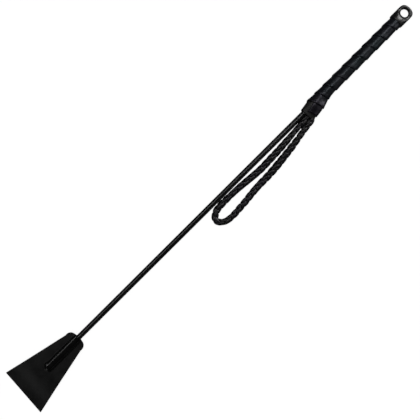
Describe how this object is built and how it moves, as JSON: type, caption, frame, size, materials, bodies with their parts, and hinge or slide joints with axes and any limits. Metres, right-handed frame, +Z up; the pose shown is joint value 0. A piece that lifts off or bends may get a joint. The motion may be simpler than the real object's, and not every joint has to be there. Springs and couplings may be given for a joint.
{
  "type": "riding crop",
  "caption": "Riding crop with a slim covered shaft, leather-wrapped handle, braided wrist loop, butt cap with a hang hole and a flared two-layer leather flap.",
  "frame": {"origin": "middle of the crop's length and of the flap's width, on the surface the crop lies on", "axes": "+X along the shaft from the flap to the butt cap, +Z up, wrist loop on the -Y side"},
  "size_m": [0.653, 0.063, 0.0184],
  "materials": {
    "rod_fibreglass": "pultruded glass fibre, hidden",
    "shaft_cover": "smooth satin black cover",
    "tip_rubber": "moulded, hidden",
    "core_plastic": "moulded, hidden",
    "loop_leather": "braided black leather cord, satin",
    "thread": "waxed black thread",
    "band_leather": "plain leather, slightly faded",
    "grip_leather": "smooth satin leather strip",
    "cap_rubber": "moulded satin rubber",
    "flap_leather": "firm black leather, fine grain, satin"
  },
  "bodies": {
    "crop": {"shaft_rod": "rod_fibreglass", "shaft_cover": "shaft_cover", "rod_tip_cap": "tip_rubber", "handle_core": "core_plastic", "loop_tails": "loop_leather", "loop_binding": "thread", "mouth_band": "band_leather", "grip_wrap": "grip_leather", "butt_cap": "cap_rubber", "flap_front_root": "flap_leather", "flap_back_root": "flap_leather", "flap_stitches": "thread"},
    "flap_end": {"flap_front_tip": "flap_leather", "flap_back_tip": "flap_leather"},
    "loop": {"wrist_loop": "loop_leather"}
  },
  "joints": [
    {"name": "flap_flex", "type": "hinge", "parent": "crop", "child": "flap_end", "pos_m": [-0.283, 0, 0.0092], "axis": [0, 1, 0], "range_deg": [-45, 45], "stiffness_Nm_per_rad": 0.3},
    {"name": "wrist_loop_swing", "type": "hinge", "parent": "crop", "child": "loop", "pos_m": [0.1393, -0.0102, 0.0092], "axis": [0, 1, 0], "range_deg": [0, 120]}
  ]
}
